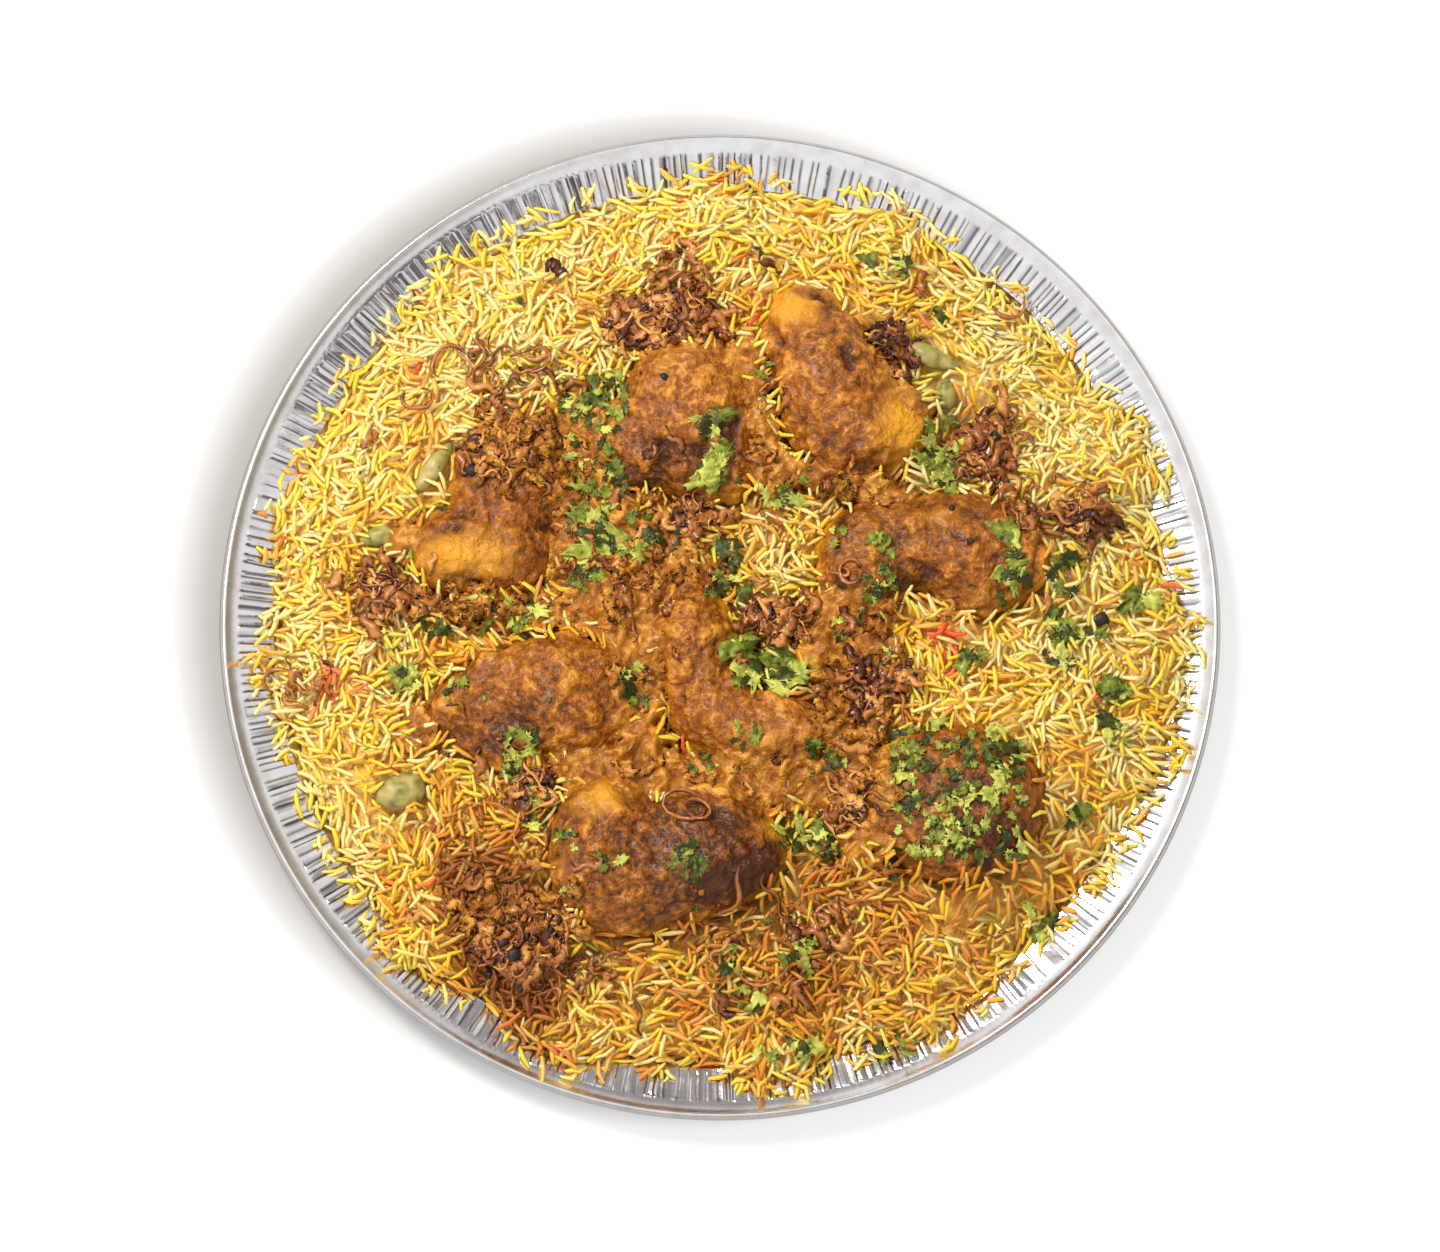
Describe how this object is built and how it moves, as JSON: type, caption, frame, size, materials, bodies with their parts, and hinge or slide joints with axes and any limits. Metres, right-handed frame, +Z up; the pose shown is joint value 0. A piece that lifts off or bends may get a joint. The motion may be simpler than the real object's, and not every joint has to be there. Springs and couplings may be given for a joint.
{
  "type": "chicken biryani in a foil tray",
  "caption": "Chicken biryani heaped in a round foil serving tray: long-grain rice, masala chicken pieces, fried onions, green chillies and coriander.",
  "frame": {"origin": "centre of the tray's flat base, on the surface that it stands on", "axes": "+Z up through the heap, -Y towards the front of the tray, +X to its right"},
  "size_m": [0.457, 0.457, 0.0677],
  "materials": {
    "foil": "bright pressed kitchen foil with fine radial wrinkles",
    "rice": "cooked grains, slightly moist, turmeric yellow to pale cream",
    "chicken": "wet ochre-brown masala, granular",
    "fried_onion": "dark brown, oily, crisp",
    "green_chilli": "cooked, olive to tan, softly shiny"
  },
  "bodies": {
    "root": {"chicken_back_left": "chicken", "chicken_back_right": "chicken", "chicken_front": "chicken", "chicken_front_right": "chicken", "chicken_left": "chicken", "chicken_leg_middle": "chicken", "chicken_middle_left": "chicken", "chicken_right": "chicken", "chicken_scrap_front": "chicken", "chicken_scrap_middle": "chicken", "foil_tray": "foil", "fried_onion_back": "fried_onion", "fried_onion_back_right": "fried_onion", "fried_onion_centre": "fried_onion", "fried_onion_far_left": "fried_onion", "fried_onion_far_right": "fried_onion", "fried_onion_front_gap": "fried_onion", "fried_onion_front_left": "fried_onion", "fried_onion_front_right": "fried_onion", "fried_onion_middle": "fried_onion", "fried_onion_middle_right": "fried_onion", "fried_onion_right": "fried_onion", "green_chilli_back": "green_chilli", "green_chilli_back_end": "green_chilli", "green_chilli_far_left": "green_chilli", "green_chilli_front_left": "green_chilli", "green_chilli_left": "green_chilli", "green_chilli_middle": "green_chilli", "rice_bed": "rice"}
  },
  "joints": []
}
